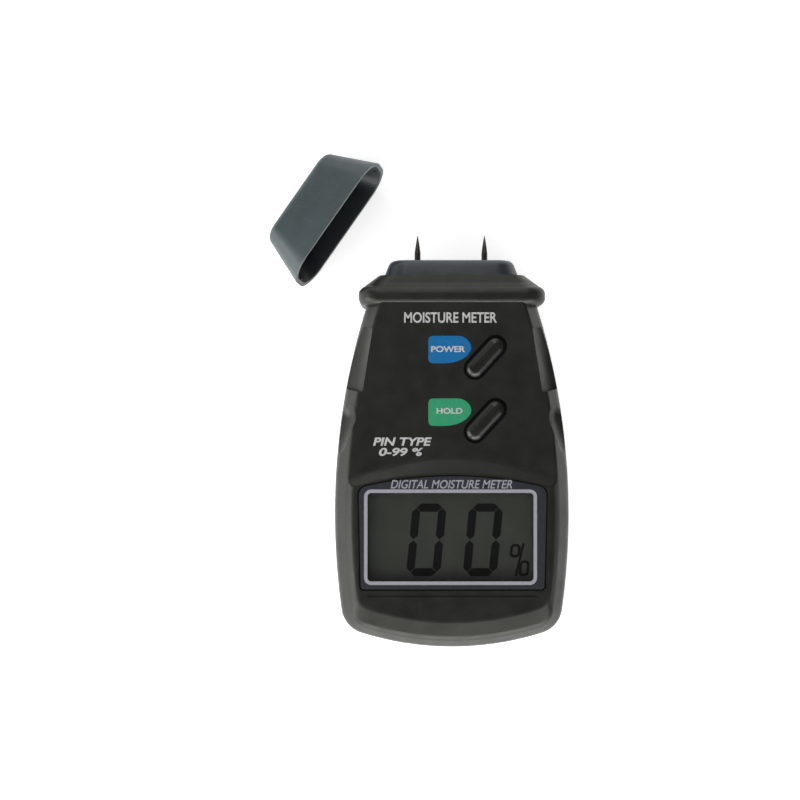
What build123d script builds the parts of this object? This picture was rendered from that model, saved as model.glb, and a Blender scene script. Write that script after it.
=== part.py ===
"""Two-pin moisture meter with its pin cap lying beside it.

Frame, in mm: the meter lies on its flat back. The origin is the middle of the back face,
+X is to the right, +Y runs towards the electrode pins and +Z comes out of the display.
"""
import os
from math import cos, radians, sin, sqrt, tan

from build123d import *

os.makedirs("parts", exist_ok=True)

# ---------------------------------------------------------------- housing outline
side_radius = 203.6        # the long sides are one shallow arc each
side_crest_y = -15.3       # where the housing is widest
half_width = 34.65
bottom_radius = 88.7       # the foot end is an arc about a point on the centre line
bottom_y = -54.9
outline_top_y = 49.0       # the outline runs up under the collar
neck_in_y = 46.0           # the inside of the neck ends here
corner_radius = 8.5

# ---------------------------------------------------------------- housing heights
back_z = 0.0
back_edge_z = 2.6          # top of the rounding round the back face
parting_z = 14.0
bevel_z = 24.0             # where the side walls turn into the front bevel
crease_z = 28.4            # where the front slopes turn gentler
keypad_z = 28.8
display_z = 30.0
wall = 2.0
keypad_in_z = keypad_z - 1.8
seam = 0.12                # half of the fine groove at the parting line
lip_inset = 1.0            # the rear shell's lip inside the groove
lip_height = 1.1
lip_top_y = 44.5

# ---------------------------------------------------------------- collar and sensor head
collar_low_y = 45.6        # the collar is a round bead across the top of the neck
collar_high_y = 51.4
collar_rounding = 2.4
collar_half = 27.3
collar_front_z = 29.3
slope_y = 50.9             # the shoulder leaves the bead here
slope_half = 26.35
slope_reach = 13.2         # half of its height above and below the head's middle
cove_y = 52.4              # the steep part ends here
cove_half = 24.5
cove_reach = 11.9
shoulder_y = 54.7
shoulder_half = 21.4
shoulder_reach = 10.9
head_z = 15.19             # height of the sensor head's middle above the back
head_top_y = 59.35
head_half = 19.85
head_thick = 18.3
head_corner = 6.5
flange_y = 49.2
flange_thick = 1.7
side_draft = 22.0          # side taper of head and cap, degrees
face_draft = 11.0          # taper of their large faces, degrees

# ---------------------------------------------------------------- electrode pins
pin_pitch = 19.9
pin_radius = 0.9
pin_tip_y = 67.1
pin_straight_y = 61.8      # end of the straight part, start of the needle
pin_tail_y = 45.5

# ---------------------------------------------------------------- cap
cap_half = 21.6            # at the open mouth, outside
cap_thick = 21.5
cap_height = 15.0
cap_wall = 1.2
cap_heading = 55.0         # turn of the lying cap about +Z
cap_mouth_x = -33.3        # middle of the mouth's plane, in plan
cap_mouth_y = 70.7

# ---------------------------------------------------------------- keys
key_x = 9.5
power_y = 30.5
hold_y = 12.2
key_angle = 47.5
key_width = 5.6
key_length = 14.4
key_gap = 0.55
key_top_z = keypad_z + 1.2

# ---------------------------------------------------------------- display
lens_half = 27.5
lens_low_half = 26.9
lens_corner = 1.2
lens_shoulder = 3.0        # rounding of its upper corners
lens_low_y = -36.9
lens_arch_y = -7.0         # where the arched top starts
lens_peak_y = -3.6
lens_thick = 1.3
lens_drop = 0.1            # the lens lies a little below the display face
lens_gap = 0.08            # all round the lens
brow_peak_y = 1.6          # foot of the brow's slope, on the centre line
brow_crest_y = -3.0        # top of the slope, on the centre line
brow_rounding = 6.0        # where the slope meets the keypad
keypad_rounding = 1.2      # along the keypad's sides
brow_reach = 36.0          # both arcs meet beyond the sides
brow_reach_y = -9.1
window_half = 24.6
window_low_y = -34.6
window_high_y = -8.6
lcd_half = 26.2
lcd_low_y = -36.0
lcd_high_y = -7.2
ledge_thick = 0.6          # the rim between the lens and the display glass
glass_thick = 2.2

# ---------------------------------------------------------------- board and battery
board_z = 21.6
board_thick = 1.2
board_half = 24.0
board_low_y = -41.0
board_high_y = 35.6
battery_x = 26.5
battery_y = 48.5
battery_thick = 17.5
battery_low_y = -49.2
battery_z = 2.05
bay_half = 13.9            # inside half width of the battery bay
bay_end_y = 49.5           # foot end of the bay, below the origin
bay_high_y = 4.6
bay_wall = 1.3
bay_roof_z = 20.1
door_half = 15.0
door_thick = 1.7
door_sink = 0.15           # the door lies a little inside the back face
door_tongue = 1.3
door_high_y = -1.0
door_gap = 0.15
door_grip_y = -49.5
tongue_z = 0.7
tongue_thick = 0.7
terminal_height = 2.6
snap_y = -0.5
lead_x = 4.0
lead_z = 11.0

# ---------------------------------------------------------------- screws
upper_screw_x = 20.0
upper_screw_y = 39.5
lower_screw_x = 25.0
lower_screw_y = -44.5
boss_radius = 3.3
screw_radius = 1.3
screw_head_radius = 2.5
screw_seat_z = 6.0
case_screw_top_z = 21.0
board_screw_x = 20.0
board_screw_high_y = 32.4
board_screw_low_y = -39.0
board_screw_radius = 0.9
board_screw_top_z = 25.8
board_post_radius = 1.8

# ---------------------------------------------------------------- side grips
upper_grip_y = 21.6        # the deep end of the long scallop
lower_grip_y = 13.4        # the deep end of the short one, where its round end starts
upper_grip_radius = 8.0
upper_grip_depth = 1.5
lower_grip_radius = 5.5
lower_grip_depth = 1.2
grip_inset = 2.35          # middle of the side bevel, from the outline
grip_mid_z = 26.2
grip_out_x = 0.756         # outward direction of the side bevel
grip_out_z = 0.655


def save(part, node):
    """Name a finished piece and write it to its own STEP file."""
    part.label = node
    export_step(part, f"parts/{node}.step")


def side_x(y, inset):
    """Half width of the housing outline at y, moved inwards by inset."""
    radius = side_radius - inset
    return half_width - side_radius + sqrt(radius**2 - (y - side_crest_y) ** 2)


def foot_y(x, inset):
    """The foot arc's y at x, moved inwards by inset."""
    radius = bottom_radius - inset
    return bottom_y + bottom_radius - sqrt(radius**2 - x**2)


def foot_corner(side_inset, foot_inset):
    """The corner where a side arc meets the foot arc."""
    x = half_width
    for _ in range(12):
        x = side_x(foot_y(x, foot_inset), side_inset)
    return x, foot_y(x, foot_inset)


def housing_face(z, side_inset, foot_inset, radius, top_y=outline_top_y):
    """The housing's outline at height z as a sketch, with all its sides moved inwards."""
    corner_x, corner_y = foot_corner(side_inset, foot_inset)
    top_x = side_x(top_y, side_inset)
    middle_y = (top_y + corner_y) / 2
    with BuildSketch(Plane.XY.offset(z)) as outline:
        with BuildLine():
            ThreePointArc((corner_x, corner_y), (side_x(middle_y, side_inset), middle_y), (top_x, top_y))
            Line((top_x, top_y), (-top_x, top_y))
            ThreePointArc((-top_x, top_y), (-side_x(middle_y, side_inset), middle_y), (-corner_x, corner_y))
            ThreePointArc((-corner_x, corner_y), (0, foot_y(0, foot_inset)), (corner_x, corner_y))
        make_face()
        fillet(outline.vertices().sort_by(Axis.Y)[:2], radius)
    return outline.sketch


def block(x_low, x_high, y_low, y_high, z_low, z_high, mode=Mode.ADD):
    """A plain block between two corners."""
    middle = ((x_low + x_high) / 2, (y_low + y_high) / 2, (z_low + z_high) / 2)
    with Locations(middle):
        return Box(x_high - x_low, y_high - y_low, z_high - z_low, mode=mode)


def post(x, y, z_low, z_high, radius, mode=Mode.ADD):
    """An upright cylinder."""
    with Locations((x, y, (z_low + z_high) / 2)):
        return Cylinder(radius, z_high - z_low, mode=mode)


def between(low, high):
    """The solid between two sketches with the same number of corners."""
    return loft([low.face(), high.face()], ruled=True)


def oblong(y, half, z_low, z_high, radius):
    """A rounded rectangle across the Y axis, as a sketch at y."""
    with BuildSketch(Plane.XZ.offset(-y)) as section:
        with Locations((0, (z_low + z_high) / 2)):
            RectangleRounded(2 * half, z_high - z_low, radius)
    return section.sketch


def stadium(x, y, z, length, width, angle):
    """A flat sketch of a slot shape at height z."""
    with BuildSketch(Plane.XY.offset(z)) as shape:
        with Locations((x, y)):
            SlotOverall(length, width, rotation=angle)
    return shape.sketch


def arched(z, half, low_y, side_y, peak_y, low_half=None, low_radius=0.0, high_radius=0.0):
    """A rectangle with an arched top edge, as a sketch at height z.

    It may narrow towards its foot and have round corners.
    """
    foot = low_half or half
    with BuildSketch(Plane.XY.offset(z)) as shape:
        with BuildLine():
            ThreePointArc((-half, side_y), (0, peak_y), (half, side_y))
            Polyline((half, side_y), (foot, low_y), (-foot, low_y), (-half, side_y))
        make_face()
        if low_radius:
            fillet(shape.vertices().sort_by(Axis.Y)[:2], low_radius)
            fillet(shape.vertices().sort_by(Axis.Y)[-2:], high_radius)
    return shape.sketch


# ================================================================ housing, outside
with BuildPart() as bead:
    extrude(oblong(collar_low_y, collar_half, back_z, collar_front_z, 6.0),
            amount=collar_high_y - collar_low_y, dir=(0, 1, 0))
    bead_ends = bead.edges().filter_by(lambda edge: edge.center().Y < collar_low_y + 0.1)
    bead_ends += bead.edges().filter_by(lambda edge: edge.center().Y > collar_high_y - 0.1)
    fillet(bead_ends, collar_rounding)

with BuildPart() as housing_form:
    back_face = housing_face(back_z, 2.4, 2.4, corner_radius - 2.0)
    back_edge = housing_face(back_edge_z, 0.5, 0.5, corner_radius - 0.4)
    middle_edge = housing_face(parting_z, 0.0, 0.0, corner_radius)
    bevel_edge = housing_face(bevel_z, 0.4, 0.8, corner_radius - 0.3)
    crease_edge = housing_face(crease_z, 3.7, 3.6, corner_radius - 2.5)
    display_edge = housing_face(display_z, 5.5, 8.8, corner_radius - 3.5)
    between(back_face, back_edge)
    between(back_edge, middle_edge)
    between(middle_edge, bevel_edge)
    between(bevel_edge, crease_edge)
    between(crease_edge, display_edge)
    for rim_z, rounding in ((bevel_z, 5.0), (crease_z, 3.0), (display_z, 2.5), (back_edge_z, 2.0)):
        rim = housing_form.edges().filter_by(lambda edge: abs(edge.center().Z - rim_z) < 0.1)
        fillet(rim.filter_by(lambda edge: edge.center().Y < collar_low_y - 5), rounding)

    # The keypad lies lower than the display, and the brow slopes between them.
    brow_foot = arched(keypad_z, brow_reach, outline_top_y + 2, brow_reach_y, brow_peak_y)
    brow_crest = arched(display_z, brow_reach, outline_top_y + 2, brow_reach_y, brow_crest_y)
    loft([brow_foot.face(), brow_crest.face()], ruled=True, mode=Mode.SUBTRACT)
    keypad_edges = housing_form.edges().filter_by(lambda edge: abs(edge.center().Z - keypad_z) < 0.1)
    brow_arch = keypad_edges.filter_by(lambda edge: abs(edge.center().X) < 1 and edge.center().Y < 10)
    fillet(brow_arch, brow_rounding)
    keypad_edges = housing_form.edges().filter_by(lambda edge: abs(edge.center().Z - keypad_z) < 0.15)
    keypad_sides = keypad_edges.filter_by(lambda edge: abs(edge.center().X) > 20 and edge.length > 20)
    fillet(keypad_sides, keypad_rounding)

    # The collar's bead goes round the neck, and the shoulder slopes from it to the sensor head.
    add(bead.part)
    slope_ring = oblong(slope_y, slope_half, head_z - slope_reach, head_z + slope_reach, 6.0)
    cove_ring = oblong(cove_y, cove_half, head_z - cove_reach, head_z + cove_reach, 6.0)
    shoulder_ring = oblong(shoulder_y, shoulder_half, head_z - shoulder_reach, head_z + shoulder_reach, 5.5)
    between(slope_ring, cove_ring)
    between(cove_ring, shoulder_ring)

    # Finger grips: two scallops in each side bevel, with a full rib between them.
    for side in (-1, 1):
        for deep_y, shallow_y, drop, grip_radius, grip_depth in (
                (upper_grip_y, 40.0, 0.0, upper_grip_radius, upper_grip_depth),
                (lower_grip_y, 2.2, 2.0, lower_grip_radius, lower_grip_depth)):
            deep_x = side_x(deep_y, grip_inset) + grip_out_x * (grip_radius - grip_depth)
            deep_z = grip_mid_z + grip_out_z * (grip_radius - grip_depth)
            shallow_x = side_x(shallow_y, grip_inset - drop) + grip_out_x * grip_radius
            shallow_z = grip_mid_z - drop + grip_out_z * grip_radius
            start = Vector(side * deep_x, deep_y, deep_z)
            run = Vector(side * shallow_x, shallow_y, shallow_z) - start
            with BuildSketch(Plane(origin=start, z_dir=run)):
                Circle(grip_radius)
            extrude(amount=run.length, mode=Mode.SUBTRACT)
            if deep_y == lower_grip_y:
                with Locations(start):
                    Sphere(grip_radius, mode=Mode.SUBTRACT)

# ================================================================ housing, inside
with BuildPart() as hollow:
    floor_in = housing_face(wall, 3.6, 3.6, 4.5, neck_in_y)
    floor_edge_in = housing_face(wall + 1.4, 2.3, 2.3, 6.0, neck_in_y)
    middle_in = housing_face(parting_z, wall, wall, 6.5, neck_in_y)
    bevel_in = housing_face(bevel_z - 0.8, wall + 1.2, wall + 0.8, 5.5, neck_in_y)
    roof_in = housing_face(keypad_in_z, 6.6, 8.2, 4.0, neck_in_y)
    between(floor_in, floor_edge_in)
    between(floor_edge_in, middle_in)
    between(middle_in, bevel_in)
    between(bevel_in, roof_in)
    # room for the sensor head's flange and the pin nuts, inside the collar
    block(-22.4, 22.4, neck_in_y - 0.5, flange_y + flange_thick + 0.05, head_z - 11.4, head_z + 11.0)
    # the shoulder's opening, which the sensor head fills
    head_room = oblong(shoulder_y + 1, head_half + 0.05, head_z - head_thick / 2 - 0.05,
                       head_z + head_thick / 2 + 0.05, head_corner)
    extrude(head_room, amount=8.0, dir=(0, -1, 0))

# ================================================================ front shell
lens_ledge_z = display_z - lens_drop - lens_thick
screw_places = [(side * x, y) for side in (-1, 1) for x, y in (
    (upper_screw_x, upper_screw_y), (lower_screw_x, lower_screw_y))]
board_screw_places = [(side * board_screw_x, y) for side in (-1, 1) for y in (
    board_screw_high_y, board_screw_low_y)]

# Screw posts hang from the roof, inside the outer form.
with BuildPart() as posts:
    for x, y in screw_places:
        post(x, y, parting_z + seam, display_z, boss_radius)
    for x, y in board_screw_places:
        post(x, y, board_z + board_thick, display_z, board_post_radius)
    add(housing_form.part, mode=Mode.INTERSECT)

with BuildPart() as front_shell:
    add(housing_form.part)
    add(hollow.part, mode=Mode.SUBTRACT)
    # the display stack sits in a pocket, the lens in a shallow seat above it
    block(-lcd_half - 0.8, lcd_half + 0.8, lcd_low_y - 1.1, lcd_high_y + 1.1,
          keypad_in_z - 2, lens_ledge_z - ledge_thick, Mode.SUBTRACT)
    block(-window_half, window_half, window_low_y, window_high_y,
          keypad_in_z, display_z + 1, Mode.SUBTRACT)
    lens_seat = arched(lens_ledge_z, lens_half + lens_gap, lens_low_y - lens_gap, lens_arch_y + lens_gap,
                       lens_peak_y + lens_gap, lens_low_half + lens_gap, lens_corner, lens_shoulder)
    extrude(lens_seat, amount=3.0, mode=Mode.SUBTRACT)
    # key holes
    for key_y in (power_y, hold_y):
        hole = stadium(key_x, key_y, keypad_in_z - 1, key_length + 2 * key_gap,
                       key_width + 2 * key_gap, key_angle)
        extrude(hole, amount=6.0, mode=Mode.SUBTRACT)
    add(posts.part)
    # a fine groove below the lens
    block(-lens_low_half + 2.5, lens_low_half - 2.5, lens_low_y - 1.9, lens_low_y - 1.4,
          display_z - 0.2, display_z + 1, Mode.SUBTRACT)
    for x, y in screw_places:
        post(x, y, parting_z - 1, case_screw_top_z + 0.5, screw_radius, Mode.SUBTRACT)
    for x, y in board_screw_places:
        post(x, y, board_z, board_screw_top_z + 0.3, board_screw_radius, Mode.SUBTRACT)
    # rebate for the rear shell's lip
    rebate = housing_face(parting_z - 1, lip_inset, lip_inset, 7.5, lip_top_y + 0.2)
    extrude(rebate, amount=1 + lip_height + 0.15, mode=Mode.SUBTRACT)
    split(bisect_by=Plane.XY.offset(parting_z + seam), keep=Keep.TOP)
save(front_shell.part, "front_shell")

# ================================================================ rear shell
# The lip locates the front shell.
lip_outer = housing_face(parting_z - 2, lip_inset + 0.1, lip_inset + 0.1, 7.4, lip_top_y)
lip_inner = housing_face(parting_z - 2, lip_inset + 1.1, lip_inset + 1.1, 6.4, lip_top_y + 1)
with BuildPart() as lip:
    extrude(lip_outer, amount=2 + lip_height)
    extrude(lip_inner, amount=2 + lip_height, mode=Mode.SUBTRACT)

with BuildPart() as rear_shell:
    add(housing_form.part)
    add(hollow.part, mode=Mode.SUBTRACT)
    split(bisect_by=Plane.XY.offset(parting_z - seam), keep=Keep.BOTTOM)
    add(lip.part)
    # battery bay: walls and a roof, open at the back
    block(-bay_half - bay_wall, bay_half + bay_wall, -bay_end_y - bay_wall, bay_high_y + bay_wall,
          wall - 0.5, bay_roof_z + bay_wall)
    block(-bay_half, bay_half, -bay_end_y, bay_high_y, wall, bay_roof_z, Mode.SUBTRACT)
    block(-bay_half, bay_half, -bay_end_y, door_high_y, -1, wall + 1, Mode.SUBTRACT)
    # rails on each side of the door
    for side in (-1, 1):
        rail_in = min(side * (bay_half + 0.5), side * (door_half + door_tongue + 1.4))
        rail_out = max(side * (bay_half + 0.5), side * (door_half + door_tongue + 1.4))
        block(rail_in, rail_out, -48.0, door_high_y, wall - 0.2, wall + 0.9)
    # the doorway runs out through the foot edge
    block(-door_half - door_gap, door_half + door_gap, bottom_y - 1, door_high_y + door_gap,
          -1, door_thick + door_gap, Mode.SUBTRACT)
    block(-door_half - door_tongue - door_gap, door_half + door_tongue + door_gap, bottom_y - 1,
          door_high_y + door_gap, tongue_z - door_gap, tongue_z + tongue_thick + door_gap, Mode.SUBTRACT)
    # gate for the battery leads, through the bay's end wall
    block(-lead_x - 2, lead_x + 2, bay_high_y - 1, bay_high_y + bay_wall + 1, lead_z - 1.6, lead_z + 1.6,
          Mode.SUBTRACT)
    # bosses for the case screws, with sunk heads
    for x, y in screw_places:
        post(x, y, 0.5, parting_z - seam, boss_radius)
        post(x, y, -1, screw_seat_z, screw_head_radius + 0.3, Mode.SUBTRACT)
        post(x, y, -1, parting_z + 1, screw_radius + 0.2, Mode.SUBTRACT)
save(rear_shell.part, "rear_shell")

# ================================================================ battery door, and the bay's foam
with BuildPart() as battery_door:
    block(-door_half, door_half, bottom_y - 1, door_high_y, door_sink, door_thick)
    block(-door_half - door_tongue, door_half + door_tongue, bottom_y - 1, door_high_y,
          tongue_z, tongue_z + tongue_thick)
    add(housing_form.part, mode=Mode.INTERSECT)
    # thumb grooves across the foot end
    for groove in range(5):
        groove_y = door_grip_y + 2.2 * groove
        half = 7.5 - 0.9 * abs(groove - 2)
        block(-half, half, groove_y, groove_y + 1.1, 0, door_sink + 0.45, Mode.SUBTRACT)
save(battery_door.part, "battery_door")

with BuildPart() as battery_foam:
    block(-9.0, 9.0, -38.0, -14.0, battery_z + battery_thick + 0.02, bay_roof_z)
save(battery_foam.part, "battery_foam")

# ================================================================ lens and display
with BuildPart() as display_lens:
    lens_face = arched(lens_ledge_z, lens_half, lens_low_y, lens_arch_y, lens_peak_y,
                       lens_low_half, lens_corner, lens_shoulder)
    extrude(lens_face, amount=lens_thick)
    chamfer(display_lens.faces().sort_by(Axis.Z)[-1].edges(), 0.18)
save(display_lens.part, "display_lens")

lcd_top_z = lens_ledge_z - ledge_thick - 0.1
with BuildPart() as lcd_glass:
    block(-lcd_half, lcd_half, lcd_low_y, lcd_high_y, lcd_top_z - glass_thick, lcd_top_z)
    # the lower plate stands out below the upper one, as the contact ledge
    block(-lcd_half, lcd_half, lcd_low_y, lcd_low_y + 1.2,
          lcd_top_z - glass_thick / 2, lcd_top_z, Mode.SUBTRACT)
save(lcd_glass.part, "lcd_glass")

reflector_z = lcd_top_z - glass_thick - 0.5
with BuildPart() as lcd_reflector:
    block(-lcd_half + 3.2, lcd_half - 3.2, lcd_low_y + 3.6, lcd_high_y - 3.6,
          reflector_z, reflector_z + 0.5)
save(lcd_reflector.part, "lcd_reflector")

board_top_z = board_z + board_thick
glass_low_z = lcd_top_z - glass_thick
with BuildPart() as lcd_holder:
    block(-lcd_half - 0.5, lcd_half + 0.5, lcd_low_y - 0.7, lcd_high_y + 0.7,
          board_top_z, glass_low_z + 1.2)
    block(-lcd_half, lcd_half, lcd_low_y, lcd_high_y, glass_low_z, glass_low_z + 2, Mode.SUBTRACT)
    block(-lcd_half + 2.4, lcd_half - 2.4, lcd_low_y + 1.0, lcd_high_y - 1.0,
          board_top_z - 1, glass_low_z + 1, Mode.SUBTRACT)
save(lcd_holder.part, "lcd_holder")

with BuildPart() as zebra_strips:
    for strip_y in (lcd_low_y + 2.2, lcd_high_y - 2.2):
        block(-lcd_half + 2.6, lcd_half - 2.6, strip_y - 1.1, strip_y + 1.1, board_top_z, glass_low_z)
save(zebra_strips.part, "zebra_strips")

# ================================================================ circuit board
with BuildPart() as circuit_board:
    block(-board_half, board_half, board_low_y, board_high_y, board_z, board_top_z)
    fillet(circuit_board.edges().filter_by(Axis.Z), 1.5)
    for x, y in board_screw_places:
        post(x, y, board_z - 1, board_top_z + 1, board_screw_radius + 0.2, Mode.SUBTRACT)
save(circuit_board.part, "circuit_board")

with BuildPart() as board_screws:
    for x, y in board_screw_places:
        post(x, y, board_z, board_screw_top_z, board_screw_radius - 0.05)
        post(x, y, board_z - 1.1, board_z, 1.7)
save(board_screws.part, "board_screws")

with BuildPart() as main_chip:
    block(-16.0, -6.0, 13.0, 23.0, board_top_z, board_top_z + 1.4)
    chamfer(main_chip.faces().sort_by(Axis.Z)[-1].edges(), 0.3)
    for pin in range(9):
        step = 1.0 * (pin - 4)
        block(-17.2, -16.0, 18 + step - 0.2, 18 + step + 0.2, board_top_z, board_top_z + 0.5)
        block(-6.0, -4.8, 18 + step - 0.2, 18 + step + 0.2, board_top_z, board_top_z + 0.5)
save(main_chip.part, "main_chip")

with BuildPart() as trimmer:
    block(-18.0, -11.5, 22.0, 28.5, board_z - 4.2, board_z)
    post(-14.75, 25.25, board_z - 4.8, board_z - 4.2, 1.6)
    block(-16.0, -13.5, 25.0, 25.5, board_z - 5, board_z - 4.5, Mode.SUBTRACT)
save(trimmer.part, "trimmer")

with BuildPart() as board_components:
    post(15.0, 24.0, board_z - 7.0, board_z, 2.5)
    post(15.0, 17.0, board_z - 5.0, board_z, 2.0)
    block(-3.0, 3.0, 26.0, 29.0, board_z - 2.6, board_z)
    for part_index in range(6):
        part_y = 13.0 + 3.2 * part_index
        block(-22.6, -19.4, part_y, part_y + 1.6, board_z - 0.7, board_z)
        block(6.0, 8.0, part_y, part_y + 1.2, board_z - 0.6, board_z)
save(board_components.part, "board_components")

# ================================================================ keys and their switches
switch_top_z = board_top_z + 1.8
plunger_top_z = switch_top_z + 0.7
flange_low_z = plunger_top_z + 0.2
for name, key_y in (("power", power_y), ("hold", hold_y)):
    with BuildPart() as button:
        key_base = stadium(key_x, key_y, flange_low_z, key_length, key_width, key_angle)
        extrude(key_base, amount=key_top_z - flange_low_z)
        fillet(button.faces().sort_by(Axis.Z)[-1].edges(), 2.3)
        key_flange = stadium(key_x, key_y, flange_low_z, key_length + 2.6, key_width + 2.6, key_angle)
        extrude(key_flange, amount=keypad_in_z - 0.15 - flange_low_z)
        post(key_x, key_y, plunger_top_z, flange_low_z, 1.3)
    save(button.part, f"{name}_button")

    with BuildPart() as switch:
        block(key_x - 3.0, key_x + 3.0, key_y - 3.0, key_y + 3.0, board_top_z, switch_top_z)
        fillet(switch.edges().filter_by(Axis.Z), 0.5)
        post(key_x, key_y, board_top_z + 0.3, switch_top_z + 1, 1.65, Mode.SUBTRACT)
    save(switch.part, f"{name}_switch")

    with BuildPart() as plunger:
        post(key_x, key_y, board_top_z + 1.1, plunger_top_z, 1.5)
    save(plunger.part, f"{name}_plunger")

# ================================================================ sensor head and pins
with BuildPart() as sensor_head:
    extrude(oblong(flange_y, head_half + 1.6, head_z - head_thick / 2 - 1.4,
                   head_z + head_thick / 2 + 1.4, 7.0),
            amount=flange_thick, dir=(0, 1, 0))
    plug_low = head_z - head_thick / 2
    plug_high = head_z + head_thick / 2
    extrude(oblong(flange_y, head_half, plug_low, plug_high, head_corner),
            amount=shoulder_y - flange_y, dir=(0, 1, 0))
    rise = head_top_y - shoulder_y
    face_loss = rise * tan(radians(face_draft))
    head_top_half = head_half - rise * tan(radians(side_draft))
    head_foot = oblong(shoulder_y, head_half, plug_low, plug_high, head_corner)
    head_end = oblong(head_top_y, head_top_half, plug_low + face_loss, plug_high - face_loss, head_corner - 1)
    between(head_foot, head_end)
    fillet(sensor_head.faces().sort_by(Axis.Y)[-1].edges(), 2.4)
    for side in (-1, 1):
        with BuildSketch(Plane.XZ.offset(-flange_y + 1)):
            with Locations((side * pin_pitch / 2, head_z)):
                Circle(pin_radius)
        extrude(amount=-20, mode=Mode.SUBTRACT)
save(sensor_head.part, "sensor_head")

for name, side in (("left", -1), ("right", 1)):
    with BuildPart() as electrode:
        with BuildSketch(Plane(origin=(side * pin_pitch / 2, 0, head_z), x_dir=(1, 0, 0), z_dir=(0, 0, 1))):
            with BuildLine():
                Line((0, pin_tip_y), (0, pin_tail_y))
                Line((0, pin_tail_y), (pin_radius, pin_tail_y))
                Line((pin_radius, pin_tail_y), (pin_radius, pin_straight_y))
                ThreePointArc((pin_radius, pin_straight_y), (0.52, (pin_straight_y + pin_tip_y) / 2 + 0.1),
                              (0.06, pin_tip_y))
                Line((0.06, pin_tip_y), (0, pin_tip_y))
            make_face()
        revolve(axis=Axis((side * pin_pitch / 2, 0, head_z), (0, 1, 0)))
    save(electrode.part, f"pin_{name}")

with BuildPart() as pin_nuts:
    for side in (-1, 1):
        with BuildSketch(Plane.XZ.offset(-flange_y)):
            with Locations((side * pin_pitch / 2, head_z)):
                RegularPolygon(2.6, 6)
                Circle(pin_radius, mode=Mode.SUBTRACT)
        extrude(amount=1.9)
save(pin_nuts.part, "pin_nuts")

# ================================================================ wires
def wire(points, radii, radius):
    """A round wire along straight runs joined by arcs."""
    with BuildPart() as lead:
        with BuildLine() as path:
            FilletPolyline(*points, radius=radii)
        with BuildSketch(Plane(origin=path.line @ 0, z_dir=path.line % 0)):
            Circle(radius)
        sweep()
    return lead.part


for name, side in (("red", -1), ("black", 1)):
    x = side * pin_pitch / 2
    route = [(x, pin_tail_y, head_z), (x, 38.5, head_z), (x, 33.5, board_z - 3.5), (x, 33.5, board_z)]
    save(wire(route, [3.0, 2.0], 0.65), f"pin_lead_{name}")
    x = side * lead_x
    route = [(x, snap_y + 2.2, lead_z), (x, 10.0, lead_z), (x, 13.5, lead_z + 5), (x, 13.5, board_z)]
    save(wire(route, [3.0, 2.5], 0.75), f"battery_lead_{name}")

# ================================================================ battery
with BuildPart() as battery:
    block(-battery_x / 2, battery_x / 2, battery_low_y, battery_low_y + battery_y - terminal_height,
          battery_z, battery_z + battery_thick)
    fillet(battery.edges().filter_by(Axis.Y), 2.0)
    chamfer(battery.edges().group_by(Axis.Y)[0] + battery.edges().group_by(Axis.Y)[-1], 0.5)
save(battery.part, "battery")

terminal_y = battery_low_y + battery_y - terminal_height
with BuildPart() as battery_terminals:
    with BuildSketch(Plane.XZ.offset(-terminal_y)):
        with Locations((-6.35, battery_z + battery_thick / 2)):
            Circle(2.9)
        with Locations((6.35, battery_z + battery_thick / 2)):
            RegularPolygon(4.1, 6)
    extrude(amount=-terminal_height)
save(battery_terminals.part, "battery_terminals")

with BuildPart() as battery_snap:
    block(-12.6, 12.6, snap_y, snap_y + 2.2, battery_z + 2.5, battery_z + battery_thick - 2.5)
    fillet(battery_snap.edges().filter_by(Axis.Y), 4.0)
save(battery_snap.part, "battery_snap")

# ================================================================ case screws
with BuildPart() as case_screws:
    for x, y in screw_places:
        post(x, y, screw_seat_z, case_screw_top_z, screw_radius - 0.02)
        post(x, y, screw_seat_z - 1.8, screw_seat_z, screw_head_radius)
        # the cross in the head
        block(x - 1.6, x + 1.6, y - 0.35, y + 0.35, screw_seat_z - 2, screw_seat_z - 0.9, Mode.SUBTRACT)
        block(x - 0.35, x + 0.35, y - 1.6, y + 1.6, screw_seat_z - 2, screw_seat_z - 0.9, Mode.SUBTRACT)
save(case_screws.part, "case_screws")

# ================================================================ pin cap, lying on its back face
heading = radians(cap_heading)
lean = radians(face_draft)
cap_plane = Plane(
    origin=(cap_mouth_x, cap_mouth_y, cap_thick / 2 * cos(lean)),
    x_dir=(cos(heading), sin(heading), 0),
    z_dir=(-sin(heading) * sin(lean), cos(heading) * sin(lean), cos(lean)),
)


def cap_section(depth, half, thick, radius):
    """A rounded rectangle at a depth behind the cap's mouth, in the cap's own frame."""
    return oblong(depth, half, -thick / 2, thick / 2, radius)


with BuildPart() as cap_form:
    end_half = cap_half - cap_height * tan(radians(side_draft))
    end_thick = cap_thick - 2 * cap_height * tan(radians(face_draft))
    between(cap_section(0, cap_half, cap_thick, 8.0), cap_section(cap_height, end_half, end_thick, 5.0))
    fillet(cap_form.faces().sort_by(Axis.Y)[-1].edges(), 2.2)
    inner_depth = cap_height - cap_wall
    in_half = cap_half - cap_wall
    in_thick = cap_thick - 2 * cap_wall
    inner_end_half = in_half - inner_depth * tan(radians(side_draft))
    inner_end_thick = in_thick - 2 * inner_depth * tan(radians(face_draft))
    mouth_section = cap_section(0, in_half, in_thick, 6.9)
    end_section = cap_section(inner_depth, inner_end_half, inner_end_thick, 4.0)
    loft([mouth_section.face(), end_section.face()], ruled=True, mode=Mode.SUBTRACT)
    # small snap ribs inside both ends of the mouth
    for side in (-1, 1):
        for rib_z in (-3.2, 3.2):
            with Locations((side * (in_half - 0.35), 1.5, rib_z)):
                Box(1.0, 1.0, 1.2)
pin_cap = cap_form.part.moved(cap_plane.location)
save(pin_cap, "pin_cap")
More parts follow.
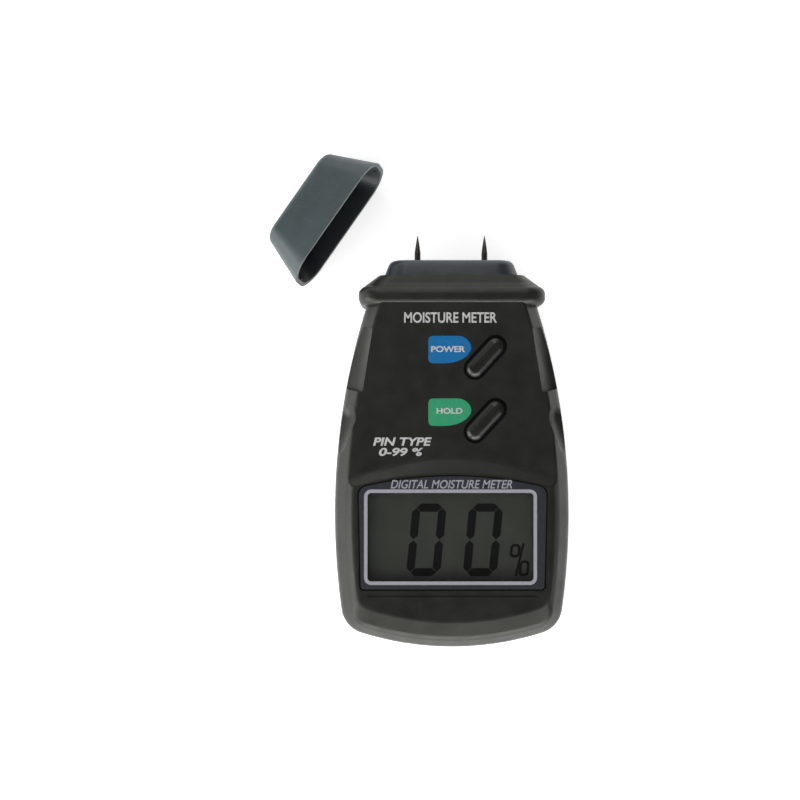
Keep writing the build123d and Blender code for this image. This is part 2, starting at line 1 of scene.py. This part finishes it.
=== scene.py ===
"""Looks for the two-pin moisture meter: materials, printing, display digits, light and camera.

Everything is in metres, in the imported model's frame: the meter lies on its back on the floor
at z = 0, +Y runs towards the electrode pins and +Z comes out of the display.
"""
from math import cos, pi, radians, sin, sqrt

import bpy
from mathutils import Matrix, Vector


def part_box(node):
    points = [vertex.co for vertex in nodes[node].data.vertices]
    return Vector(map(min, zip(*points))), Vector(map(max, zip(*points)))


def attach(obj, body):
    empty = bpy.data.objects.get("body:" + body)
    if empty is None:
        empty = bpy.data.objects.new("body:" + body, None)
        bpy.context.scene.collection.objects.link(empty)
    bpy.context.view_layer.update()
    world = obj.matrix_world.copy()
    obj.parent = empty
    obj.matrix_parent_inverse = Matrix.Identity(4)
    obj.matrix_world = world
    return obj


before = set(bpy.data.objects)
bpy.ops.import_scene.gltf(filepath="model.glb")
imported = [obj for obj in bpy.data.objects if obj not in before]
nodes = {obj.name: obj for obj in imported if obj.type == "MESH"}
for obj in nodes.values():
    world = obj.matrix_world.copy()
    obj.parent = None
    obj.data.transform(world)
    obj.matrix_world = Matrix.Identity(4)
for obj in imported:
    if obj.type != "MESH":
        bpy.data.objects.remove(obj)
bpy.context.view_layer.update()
mm = 0.001

# ------------------------------------------------------------------ driving sizes, in metres
lens_low, lens_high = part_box("display_lens")
glass_low, glass_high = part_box("lcd_glass")
key_low, key_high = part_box("power_button")
hold_low, hold_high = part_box("hold_button")
key_stand = 1.2 * mm                    # how far the keys stand above the keypad
keypad_z = key_high.z - key_stand
ink = 0.03 * mm                         # thickness of a printed layer
lift = 0.012 * mm                       # air under it, so that no faces coincide


# ================================================================== materials
class Shader:
    """A small helper round one material's nodes."""

    def __init__(self, name):
        self.material = bpy.data.materials.new(name)
        self.material.use_nodes = True
        self.tree = self.material.node_tree
        self.surface = self.tree.nodes["Principled BSDF"]
        self.place = self.tree.nodes.new("ShaderNodeTexCoord").outputs["Object"]

    def node(self, kind, **values):
        """A node with its properties set."""
        made = self.tree.nodes.new(kind)
        for key, value in values.items():
            setattr(made, key, value)
        return made

    def link(self, source, target):
        self.tree.links.new(source, target)

    def noise(self, size, detail=3.0, roughness=0.55):
        """Noise whose features are about size metres across."""
        made = self.node("ShaderNodeTexNoise")
        made.inputs["Scale"].default_value = 1.0 / size
        made.inputs["Detail"].default_value = detail
        made.inputs["Roughness"].default_value = roughness
        self.link(self.place, made.inputs["Vector"])
        return made.outputs["Fac"]

    def ramp(self, value, low, high, start=0.35, end=0.65):
        """A value spread between two numbers or two colours."""
        made = self.node("ShaderNodeMapRange", clamp=True)
        made.inputs["From Min"].default_value = start
        made.inputs["From Max"].default_value = end
        made.inputs["To Min"].default_value = low
        made.inputs["To Max"].default_value = high
        self.link(value, made.inputs["Value"])
        return made.outputs["Result"]

    def mix(self, factor, first, second):
        """A colour between two others."""
        made = self.node("ShaderNodeMix", data_type="RGBA")
        self.link(factor, made.inputs["Factor"])
        for slot, colour in (("A", first), ("B", second)):
            socket = [s for s in made.inputs if s.name == slot and s.type == "RGBA"][0]
            if isinstance(colour, tuple):
                socket.default_value = (*colour, 1.0)
            else:
                self.link(colour, socket)
        return [s for s in made.outputs if s.type == "RGBA"][0]

    def bump(self, height, depth, strength=1.0, normal=None):
        """A bump that stands depth metres high."""
        made = self.node("ShaderNodeBump")
        made.inputs["Strength"].default_value = strength
        made.inputs["Distance"].default_value = depth
        self.link(height, made.inputs["Height"])
        if normal is not None:
            self.link(normal, made.inputs["Normal"])
        return made.outputs["Normal"]

    def edge(self, radius):
        """A value that grows from 0 to 1 at convex or concave edges."""
        soft = self.node("ShaderNodeBevel", samples=6)
        soft.inputs["Radius"].default_value = radius
        flat = self.node("ShaderNodeNewGeometry")
        dot = self.node("ShaderNodeVectorMath", operation="DOT_PRODUCT")
        self.link(soft.outputs["Normal"], dot.inputs[0])
        self.link(flat.outputs["Normal"], dot.inputs[1])
        return self.ramp(dot.outputs["Value"], 1.0, 0.0, 0.86, 0.995)

    def set(self, **values):
        """Numbers and colours on the surface shader's own sockets."""
        for key, value in values.items():
            self.surface.inputs[key.replace("_", " ")].default_value = value


# Near-black colour for painted shade in hollows.
painted_shade_colour = (0.004, 0.005, 0.005)


def moulded(name, colour, rough, grain=0.35 * mm, depth=0.02 * mm, specular=0.5, wear_and_sheen=0.25,
            tint=(1, 1, 1), painted_shade_reach=0.0):
    """Moulded plastic: spark grain, slow colour drift, uneven gloss, and edges lightened partly as rubbed
    wear and partly as a painted sheen.

    Given a shade reach, places that see other plastic nearer than that distance are painted dark: painted
    shade in hollows and under overhangs.
    """
    shader = Shader(name)
    drift = shader.noise(14 * mm, 4.0)
    speck = shader.noise(0.6 * mm, 2.0)
    darker = tuple(0.86 * c for c in colour)
    lighter = tuple(1.12 * c for c in colour)
    # A paler tone for specks and for the lightened edges, which are rubbed wear and painted sheen.
    rubbed_and_sheen = tuple(min(1.0, 1.5 * c + 0.004) for c in colour)
    tone = shader.mix(shader.ramp(drift, 0.0, 1.0), darker, lighter)
    flecked = shader.mix(shader.ramp(speck, 0.0, 0.35, 0.5, 0.75), tone, rubbed_and_sheen)
    # Edges are lightened in patches: partly rubbed wear, partly a painted sheen along convex and concave
    # edges.
    worn_and_sheen = shader.ramp(shader.noise(3 * mm, 4.0), 0.0, wear_and_sheen, 0.42, 0.7)
    wear_and_sheen_mask = shader.node("ShaderNodeMath", operation="MULTIPLY")
    shader.link(shader.edge(0.35 * mm), wear_and_sheen_mask.inputs[0])
    shader.link(worn_and_sheen, wear_and_sheen_mask.inputs[1])
    surface = shader.mix(wear_and_sheen_mask.outputs["Value"], flecked, rubbed_and_sheen)
    # Painted shade: hollows that see other plastic close by are darkened towards a near-black colour.
    if painted_shade_reach:
        reach = shader.node("ShaderNodeAmbientOcclusion", samples=8)
        reach.inputs["Distance"].default_value = painted_shade_reach
        openness = shader.ramp(reach.outputs["AO"], 0.0, 1.0, 0.35, 0.85)
        surface = shader.mix(openness, painted_shade_colour, surface)
    shader.link(surface, shader.surface.inputs["Base Color"])
    gloss = shader.ramp(shader.noise(5 * mm), rough - 0.05, rough + 0.06)
    shader.link(gloss, shader.surface.inputs["Roughness"])
    shader.link(shader.bump(shader.noise(grain, 3.0, 0.6), depth), shader.surface.inputs["Normal"])
    shader.set(Specular_IOR_Level=specular, Specular_Tint=(*tint, 1.0))
    return shader.material


def printed(name, colour, rough=0.35, specular=0.5, peel=0.003 * mm):
    """Screen-printed ink: slightly uneven cover and a faint orange peel."""
    shader = Shader(name)
    cover = shader.noise(0.35 * mm, 3.0)
    thin = tuple(0.82 * c for c in colour)
    tone = shader.mix(shader.ramp(cover, 0.0, 1.0), thin, colour)
    shader.link(tone, shader.surface.inputs["Base Color"])
    gloss = shader.ramp(shader.noise(1.5 * mm), rough - 0.06, rough + 0.06)
    shader.link(gloss, shader.surface.inputs["Roughness"])
    shader.link(shader.bump(shader.noise(0.8 * mm), peel), shader.surface.inputs["Normal"])
    shader.set(Specular_IOR_Level=specular)
    return shader.material


def metal(name, colour, rough, along=(1, 1, 1), depth=0.004 * mm):
    """Machined or plated metal: fine drawn lines, uneven gloss and a little tarnish."""
    shader = Shader(name)
    squeeze = shader.node("ShaderNodeMapping")
    squeeze.inputs["Scale"].default_value = along
    shader.link(shader.place, squeeze.inputs["Vector"])
    lines = shader.node("ShaderNodeTexNoise")
    lines.inputs["Scale"].default_value = 1.0 / (0.12 * mm)
    lines.inputs["Detail"].default_value = 4.0
    shader.link(squeeze.outputs["Vector"], lines.inputs["Vector"])
    stain = shader.ramp(shader.noise(2.5 * mm, 4.0), 0.0, 1.0)
    dull = tuple(0.78 * c for c in colour)
    shader.link(shader.mix(stain, dull, colour), shader.surface.inputs["Base Color"])
    gloss = shader.ramp(lines.outputs["Fac"], rough - 0.07, rough + 0.09)
    shader.link(gloss, shader.surface.inputs["Roughness"])
    shader.link(shader.bump(lines.outputs["Fac"], depth), shader.surface.inputs["Normal"])
    shader.set(Metallic=1.0)
    return shader.material


def clear_plastic(name):
    """Thin clear acrylic with a faint haze and very slight waviness."""
    shader = Shader(name)
    shader.link(shader.ramp(shader.noise(6 * mm), 0.02, 0.06), shader.surface.inputs["Roughness"])
    shader.link(shader.bump(shader.noise(12 * mm), 0.01 * mm), shader.surface.inputs["Normal"])
    shader.set(Base_Color=(0.93, 0.95, 0.97, 1.0), Transmission_Weight=1.0, IOR=1.49, Alpha=0.2)
    return shader.material


def display_film(name):
    """The display's olive polariser: a satin film with faint mottling and fine specks."""
    shader = Shader(name)
    mottle = shader.ramp(shader.noise(7 * mm, 5.0), 0.0, 1.0)
    base = shader.mix(mottle, (0.034, 0.036, 0.029), (0.039, 0.041, 0.034))
    speck = shader.ramp(shader.noise(0.5 * mm, 2.0), 0.0, 0.15)
    shader.link(shader.mix(speck, base, (0.044, 0.046, 0.038)), shader.surface.inputs["Base Color"])
    shader.link(shader.ramp(shader.noise(2 * mm), 0.34, 0.42), shader.surface.inputs["Roughness"])
    shader.link(shader.bump(shader.noise(1.5 * mm), 0.002 * mm), shader.surface.inputs["Normal"])
    shader.set(Specular_IOR_Level=0.25)
    return shader.material


def board_resist(name):
    """Green solder resist over copper tracks."""
    shader = Shader(name)
    tracks = shader.node("ShaderNodeTexBrick")
    tracks.inputs["Scale"].default_value = 320.0
    tracks.inputs["Mortar Size"].default_value = 0.06
    shader.link(shader.place, tracks.inputs["Vector"])
    copper = shader.ramp(tracks.outputs["Fac"], 0.0, 1.0, 0.0, 1.0)
    drift = shader.ramp(shader.noise(6 * mm), 0.0, 1.0)
    base = shader.mix(drift, (0.010, 0.085, 0.030), (0.014, 0.11, 0.042))
    shader.link(shader.mix(copper, base, (0.03, 0.17, 0.06)), shader.surface.inputs["Base Color"])
    shader.link(shader.bump(tracks.outputs["Fac"], 0.03 * mm), shader.surface.inputs["Normal"])
    shader.link(shader.ramp(shader.noise(1 * mm), 0.25, 0.4), shader.surface.inputs["Roughness"])
    return shader.material


olive_black = (0.0092, 0.0102, 0.0082)
blue_grey = (0.048, 0.066, 0.071)
olive_tint = (1.0, 1.0, 0.91)
rear_grain = {"grain": 0.5 * mm, "depth": 0.03 * mm, "tint": olive_tint}
looks = {
    "front_shell": moulded("shell_plastic", olive_black, 0.40, specular=0.42, tint=olive_tint),
    "rear_shell": moulded("rear_plastic", olive_black, 0.50, **rear_grain),
    "battery_door": moulded("door_plastic", (0.0080, 0.0080, 0.0068), 0.50, **rear_grain),
    "sensor_head": moulded("head_plastic", (0.034, 0.041, 0.048), 0.38, wear_and_sheen=0.15),
    # The cap's inside gets painted shade from its own walls.
    "pin_cap": moulded("cap_plastic", blue_grey, 0.40, wear_and_sheen=0.2, painted_shade_reach=26 * mm),
    "power_button": moulded("key_rubber", (0.0080, 0.0080, 0.0072), 0.30, grain=0.25 * mm,
                            depth=0.01 * mm),
    "pin_left": metal("pin_steel", (0.095, 0.086, 0.080), 0.26, (1, 0.06, 1)),
    "case_screws": metal("screw_steel", (0.40, 0.40, 0.41), 0.34),
    "pin_nuts": metal("brass", (0.72, 0.52, 0.24), 0.30),
    "battery_terminals": metal("terminal_nickel", (0.66, 0.64, 0.60), 0.22),
    "display_lens": clear_plastic("lens_acrylic"),
    "lcd_glass": display_film("lcd_film"),
    "lcd_reflector": moulded("reflector_film", (0.50, 0.52, 0.46), 0.35),
    "lcd_holder": moulded("holder_plastic", (0.62, 0.62, 0.59), 0.45),
    "zebra_strips": moulded("zebra_rubber", (0.10, 0.10, 0.11), 0.7),
    "circuit_board": board_resist("board_resist"),
    "main_chip": moulded("chip_epoxy", (0.016, 0.016, 0.018), 0.5),
    "board_components": moulded("component_body", (0.14, 0.11, 0.07), 0.45),
    "trimmer": moulded("trimmer_plastic", (0.02, 0.09, 0.36), 0.35),
    "power_switch": moulded("switch_plastic", (0.02, 0.02, 0.02), 0.4),
    "power_plunger": moulded("plunger_plastic", (0.6, 0.6, 0.56), 0.4),
    "battery": moulded("battery_sleeve", (0.05, 0.05, 0.055), 0.25),
    "battery_snap": moulded("snap_vinyl", (0.018, 0.018, 0.018), 0.45),
    "pin_lead_red": moulded("wire_red", (0.35, 0.02, 0.015), 0.4),
    "pin_lead_black": moulded("wire_black", (0.015, 0.015, 0.015), 0.4),
    "battery_foam": moulded("foam", (0.06, 0.06, 0.06), 0.9, grain=0.8 * mm, depth=0.2 * mm),
}
same_as = {
    "hold_button": "power_button",
    "hold_switch": "power_switch",
    "hold_plunger": "power_plunger",
    "pin_right": "pin_left",
    "board_screws": "case_screws",
    "battery_lead_red": "pin_lead_red",
    "battery_lead_black": "pin_lead_black",
}
for name, node in nodes.items():
    look = looks[same_as.get(name, name)]
    for material_slot in node.material_slots:
        material_slot.material = look

ink_white = printed("ink_white", (0.50, 0.50, 0.50))
ink_silver = printed("ink_silver", (0.33, 0.325, 0.365), 0.35)
ink_border = printed("ink_border", (0.0225, 0.0240, 0.0310), 0.4, specular=0.4, peel=0.001 * mm)
ink_blue = printed("ink_blue", (0.003, 0.135, 0.350), 0.38)
ink_green = printed("ink_green", (0.029, 0.290, 0.135), 0.38)
segment_ink = printed("segment_ink", (0.0030, 0.0030, 0.0030), 0.6, specular=0.1)


# ================================================================== flat pieces
def arc(centre, radius, start, end, steps=10):
    """Points along an arc, from start to end in degrees."""
    angles = [radians(start + (end - start) * i / steps) for i in range(steps + 1)]
    return [(centre[0] + radius * cos(a), centre[1] + radius * sin(a)) for a in angles]


def rounded_box(left, right, low, high, radius):
    """A rounded rectangle's outline."""
    corners = ((right, high, 0), (left, high, 90), (left, low, 180), (right, low, 270))
    points = []
    for x, y, turn in corners:
        inward_x = x - radius if x == right else x + radius
        inward_y = y - radius if y == high else y + radius
        points += arc((inward_x, inward_y), radius, turn, turn + 90, 6)
    return points


def arched_box(half, low_half, low, side, peak, corner, shoulder):
    """A rectangle with an arched top edge, a narrower foot and rounded corners."""
    rise = peak - side
    radius = (half**2 + rise**2) / (2 * rise)
    points = arc((-low_half + corner, low + corner), corner, 180, 270, 6)
    points += arc((low_half - corner, low + corner), corner, 270, 360, 6)
    reach = half - shoulder
    end_y = peak - radius + sqrt(radius**2 - reach**2)
    points += arc((reach, end_y - shoulder), shoulder, 0, 80, 8)
    for i in range(1, 32):
        x = reach * (1 - i / 16)
        points.append((x, peak - radius + sqrt(radius**2 - x**2)))
    points += arc((-reach, end_y - shoulder), shoulder, 100, 180, 8)
    return points


def flat_piece(name, loops, z, thick, material, body="housing"):
    """A thin plate cut to the loops; a loop inside another is a hole."""
    curve = bpy.data.curves.new(name, "CURVE")
    curve.dimensions = "2D"
    curve.fill_mode = "BOTH"
    curve.extrude = thick / 2
    for loop in loops:
        spline = curve.splines.new("POLY")
        spline.points.add(len(loop) - 1)
        for point, (x, y) in zip(spline.points, loop):
            point.co = (x, y, 0, 1)
        spline.use_cyclic_u = True
    return settle(name, curve, z + thick / 2, material, body)


def settle(name, curve, z, material, body):
    """Turn a curve or text into a mesh piece at height z and let it ride on its body."""
    draft = bpy.data.objects.new(name + "_draft", curve)
    bpy.context.scene.collection.objects.link(draft)
    bpy.context.view_layer.update()
    mesh = bpy.data.meshes.new_from_object(draft.evaluated_get(bpy.context.evaluated_depsgraph_get()))
    bpy.data.objects.remove(draft)
    for vertex in mesh.vertices:
        vertex.co.z += z
    mesh.name = name
    mesh.materials.clear()
    mesh.materials.append(material)
    piece = bpy.data.objects.new(name, mesh)
    bpy.context.scene.collection.objects.link(piece)
    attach(piece, body)
    return piece


def lettering(name, words, left, right, low, high, z, material, slant=0.0, weight=0.0, body="housing"):
    """Printed words, fitted to a box."""
    text = bpy.data.curves.new(name, "FONT")
    text.body = words
    text.size = high - low
    text.shear = slant
    text.offset = weight * (high - low)
    text.extrude = ink / 2
    piece = settle(name, text, z + lift + ink / 2, material, body)
    xs = [v.co.x for v in piece.data.vertices]
    ys = [v.co.y for v in piece.data.vertices]
    for vertex in piece.data.vertices:
        vertex.co.x = left + (vertex.co.x - min(xs)) * (right - left) / (max(xs) - min(xs))
        vertex.co.y = low + (vertex.co.y - min(ys)) * (high - low) / (max(ys) - min(ys))
    return piece


# ------------------------------------------------------------------ lens border, frame line and title
line = 1.0 * mm                         # width of the silver frame line
arch_rise = 3.4 * mm                    # how far the lens arches up in its middle
foot_narrowing = 0.6 * mm               # the lens is this much narrower at its foot, on each side
frame_left, frame_right = -25.6 * mm, 24.4 * mm
frame_low = lens_low.y + 1.6 * mm
frame_high = lens_high.y - 4.1 * mm
window = rounded_box(frame_left + line, frame_right - line, frame_low + line, frame_high - line, 1.1 * mm)
frame_outer = rounded_box(frame_left, frame_right, frame_low, frame_high, 2.1 * mm)
inset = 0.3 * mm
border = arched_box(lens_high.x - inset, lens_high.x - foot_narrowing - inset, lens_low.y + inset,
                    lens_high.y - arch_rise - inset, lens_high.y - inset, 1.0 * mm, 2.8 * mm)
flat_piece("lens_border", [border, window], lens_high.z + lift, ink, ink_border)
flat_piece("display_frame", [frame_outer, window], lens_high.z + lift + ink, ink, ink_silver)
title_low, title_high = frame_high + 0.25 * mm, frame_high + 2.75 * mm
lettering("title_words", "DIGITAL MOISTURE METER", -17.9 * mm, 17.2 * mm, title_low, title_high,
          lens_high.z + ink, ink_silver, slant=0.25, weight=0.01)

# ------------------------------------------------------------------ display digits
digit_height = 21.1 * mm
digit_lefts = (-13.5 * mm, 2.9 * mm)
digit_width = 9.9 * mm
bar = 2.35 * mm                         # width of one bar
lean = 0.096                            # sideways lean per unit of height
gap = 0.14 * mm                         # between a bar's tip and the next bar
glass_z = glass_high.z + lift


def digit_bar(ends, width):
    """One pointed bar between two ends, in the digit's own upright frame."""
    (x0, y0), (x1, y1) = ends
    run = Vector((x1 - x0, y1 - y0))
    along = run.normalized()
    across = Vector((-along.y, along.x)) * width / 2
    start = Vector((x0, y0)) + along * gap
    end = Vector((x1, y1)) - along * gap
    tip = width / 2
    outline = [start, start + along * tip + across, end - along * tip + across,
               end, end - along * tip - across, start + along * tip - across]
    return [(p.x, p.y) for p in outline]


def zero_digit(name, left, low):
    """A slanted 0 on a seven-bar display."""
    half = bar / 2
    x0, x1 = half, digit_width - half
    y0, y1, y2 = half, digit_height / 2, digit_height - half
    bars = [((x0, y2), (x1, y2)), ((x1, y2), (x1, y1)), ((x1, y1), (x1, y0)),
            ((x1, y0), (x0, y0)), ((x0, y0), (x0, y1)), ((x0, y1), (x0, y2))]
    loops = [[(left + x + lean * y, low + y) for x, y in digit_bar(ends, bar)] for ends in bars]
    return flat_piece(name, loops, glass_z, ink, segment_ink)


digit_low = lens_low.y + 3.9 * mm
for index, left in enumerate(digit_lefts):
    zero_digit(f"digit_{index}", left, digit_low)

sign_left = 16.0 * mm
ring_width, ring_corner, ring_bar = 3.0 * mm, 1.3 * mm, 0.75 * mm
sign = []
for x, y, high in ((0.0, 5.4 * mm, 4.0 * mm), (3.1 * mm, 0.0, 4.6 * mm)):
    for cut in (0.0, ring_bar):
        ring = rounded_box(x + cut, x + ring_width - cut, y + cut, y + high - cut,
                           ring_corner - cut * 0.9)
        sign.append([(sign_left + px + lean * py, digit_low + py) for px, py in ring])
flat_piece("percent_rings", sign, glass_z, ink, segment_ink)
slash = [(2.0 * mm, 0.0), (2.7 * mm, 0.0), (5.0 * mm, 9.6 * mm), (4.3 * mm, 9.6 * mm)]
flat_piece("percent_slash", [[(sign_left + x, digit_low + y) for x, y in slash]], glass_z, ink,
           segment_ink)


# ------------------------------------------------------------------ key labels and words on the keypad
def key_label(name, top, material):
    """A bullet-shaped label that points at its key."""
    left, right, low = -7.0 * mm, 5.45 * mm, top - 7.95 * mm
    tip = top - 3.4 * mm
    corner = 1.3 * mm
    shoulder, heel = 1.6 * mm, -2.4 * mm
    loop = arc((left + corner, top - corner), corner, 180, 90, 5)
    loop += [(shoulder, top)]
    for i in range(1, 9):
        turn = i * pi / 16
        loop.append((shoulder + (right - shoulder) * sin(turn), tip + (top - tip) * cos(turn) ** 1.15))
    for i in range(1, 11):
        turn = i * pi / 20
        loop.append((right - (right - heel) * (1 - cos(turn)), tip - (tip - low) * sin(turn) ** 1.05))
    loop += arc((left + corner, low + corner), corner, 270, 180, 5)
    return flat_piece(name, [loop], keypad_z + lift, ink, material)


power_y = (key_low.y + key_high.y) / 2
hold_y = (hold_low.y + hold_high.y) / 2
key_label("label_power", power_y + 6.25 * mm, ink_blue)
key_label("label_hold", hold_y + 6.4 * mm, ink_green)
label_top = keypad_z + ink
lettering("words_power", "POWER", -6.2 * mm, 3.7 * mm, power_y + 1.5 * mm, power_y + 3.3 * mm,
          label_top, ink_white, weight=0.03)
lettering("words_hold", "HOLD", -4.6 * mm, 2.9 * mm, hold_y + 1.95 * mm, hold_y + 3.65 * mm,
          label_top, ink_white, weight=0.03)
lettering("words_type", "MOISTURE METER", -14.0 * mm, 12.9 * mm, 40.5 * mm, 43.6 * mm,
          keypad_z, ink_white, weight=0.02)
lettering("words_note", "PIN TYPE", -23.0 * mm, -6.0 * mm, 4.9 * mm, 7.3 * mm,
          keypad_z, ink_white, slant=0.2, weight=0.03)
lettering("words_range", "0-99 %", -21.3 * mm, -8.5 * mm, 1.9 * mm, 4.3 * mm,
          keypad_z, ink_white, slant=0.2, weight=0.03)


# ================================================================== stage, light and camera
def plain_floor():
    """A plain pale floor. It glows a little, so that the meter's soft shadows stay faint."""
    mesh = bpy.data.meshes.new("floor")
    reach = 3.0
    corners = [(-reach, -reach, 0), (reach, -reach, 0), (reach, reach, 0), (-reach, reach, 0)]
    mesh.from_pydata(corners, [], [(0, 1, 2, 3)])
    floor = bpy.data.objects.new("floor", mesh)
    bpy.context.scene.collection.objects.link(floor)
    shader = Shader("floor_paper")
    shader.set(Base_Color=(0.93, 0.93, 0.93, 1.0), Roughness=0.9, Specular_IOR_Level=0.1)
    shader.set(Emission_Color=(1.0, 1.0, 1.0, 1.0), Emission_Strength=0.60)
    mesh.materials.append(shader.material)


def soft_box(name, place, target, size, power):
    """A rectangular soft light aimed at the target."""
    lamp = bpy.data.lights.new(name, "AREA")
    lamp.shape = "RECTANGLE"
    lamp.size, lamp.size_y = size
    lamp.energy = power
    holder = bpy.data.objects.new(name, lamp)
    holder.location = place
    holder.rotation_euler = (Vector(target) - Vector(place)).to_track_quat("-Z", "Y").to_euler()
    bpy.context.scene.collection.objects.link(holder)


def studio_sky(left, right, overhead):
    """A sky that is bright low down on the left and dark overhead, so that level faces stay deep."""
    world = bpy.data.worlds.new("studio")
    world.use_nodes = True
    tree = world.node_tree
    direction = tree.nodes.new("ShaderNodeTexCoord")
    parts = tree.nodes.new("ShaderNodeSeparateXYZ")
    across = tree.nodes.new("ShaderNodeMapRange")
    height = tree.nodes.new("ShaderNodeMapRange")
    sweeps = ((across, -0.9, 0.9, left, right), (height, 0.15, 0.70, left, overhead))
    for sweep, start, end, low, high in sweeps:
        sweep.inputs["From Min"].default_value = start
        sweep.inputs["From Max"].default_value = end
        sweep.inputs["To Min"].default_value = low
        sweep.inputs["To Max"].default_value = high
    tree.links.new(direction.outputs["Generated"], parts.inputs["Vector"])
    tree.links.new(parts.outputs["X"], across.inputs["Value"])
    tree.links.new(parts.outputs["Z"], height.inputs["Value"])
    tree.links.new(across.outputs["Result"], height.inputs["To Min"])
    tree.links.new(height.outputs["Result"], tree.nodes["Background"].inputs["Strength"])
    tree.nodes["Background"].inputs["Color"].default_value = (1, 1, 1, 1)
    bpy.context.scene.world = world


plain_floor()
studio_sky(1.0, 0.1, 0.15)
soft_box("left_light", (-0.86, -0.38, 0.38), (0, 0, 0), (0.8, 0.6), 7)
soft_box("right_light", (0.50, -0.80, 0.40), (0, 0, 0), (0.5, 0.6), 5.0)
soft_box("foot_light", (-0.1, -0.93, 0.38), (0, 0, 0), (0.8, 0.6), 8)
soft_box("head_light", (-0.1, 0.93, 0.42), (0, 0, 0), (0.9, 0.6), 2.2)
soft_box("brow_light", (-0.1, 0.56, 0.80), (0, 0, 0), (0.45, 0.35), 1.1)
soft_box("spot_light", (-0.50, -0.42, 0.70), (0, 0, 0), (0.16, 0.16), 0.6)

camera_height = 0.5
camera = bpy.data.objects.new("camera", bpy.data.cameras.new("camera"))
camera.location = (-15.2 * mm, 18.15 * mm, camera_height)
camera.data.sensor_width = 36.0
camera.data.lens = 73.2
camera.data.clip_start = 0.01
bpy.context.scene.collection.objects.link(camera)
bpy.context.scene.camera = camera
bpy.context.scene.view_settings.view_transform = "Standard"
